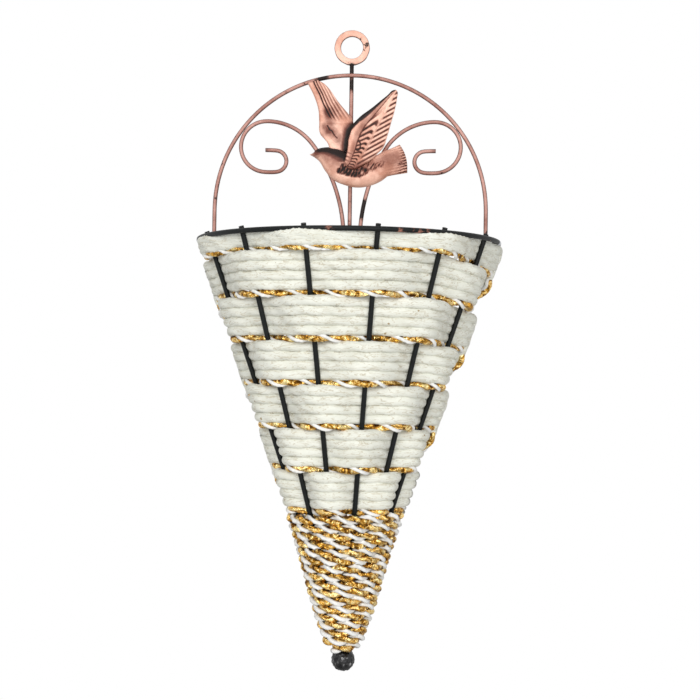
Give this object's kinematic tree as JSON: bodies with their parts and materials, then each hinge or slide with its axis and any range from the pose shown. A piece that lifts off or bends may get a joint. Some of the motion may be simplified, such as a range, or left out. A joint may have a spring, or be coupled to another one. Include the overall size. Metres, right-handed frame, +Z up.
{
  "type": "wall planter",
  "caption": "Half-cone wall basket of woven paper rope on a wire frame, with an arched back, scrolls and a bird ornament, hung by a ring.",
  "frame": {"origin": "centre of the hanging ring's hole on the wall plane, which is the ring's flat back", "axes": "+Z up, +X to the right as seen from the room, the basket stands out from the wall towards -Y"},
  "size_m": [0.2188, 0.117, 0.4594],
  "materials": {
    "dark_wire": "dark green-black paint, worn to copper in places",
    "copper_wire": "copper paint with dark patina, satin",
    "bird_copper": "copper paint rubbed over dark recesses, satin",
    "hammered_ball": "dark hammered",
    "paper_rope": "off-white twisted paper rope, matt",
    "gold_cord": "two plies, one off-white and one wrapped in crinkled gold foil"
  },
  "bodies": {
    "root": {"spine": "dark_wire", "rim": "dark_wire", "rib_front_1": "dark_wire", "rib_front_2": "dark_wire", "rib_front_3": "dark_wire", "rib_front_4": "dark_wire", "rib_front_5": "dark_wire", "rib_front_6": "dark_wire", "rib_side_left": "dark_wire", "rib_side_right": "dark_wire", "hang_ring": "copper_wire", "arch": "copper_wire", "scroll_left": "copper_wire", "scroll_right": "copper_wire", "bird_body": "bird_copper", "bird_far_wing": "bird_copper", "bird_near_wing": "bird_copper", "ball_finial": "hammered_ball", "rope_band_1": "paper_rope", "rope_band_2": "paper_rope", "rope_band_3": "paper_rope", "rope_band_4": "paper_rope", "rope_band_5": "paper_rope", "rope_band_6": "paper_rope", "rope_band_7": "paper_rope", "gold_cord_1": "gold_cord", "gold_cord_2": "gold_cord", "gold_cord_3": "gold_cord", "gold_cord_4": "gold_cord", "gold_cord_5": "gold_cord", "gold_cord_6": "gold_cord", "gold_cord_7": "gold_cord", "tip_winding": "gold_cord"}
  },
  "joints": []
}
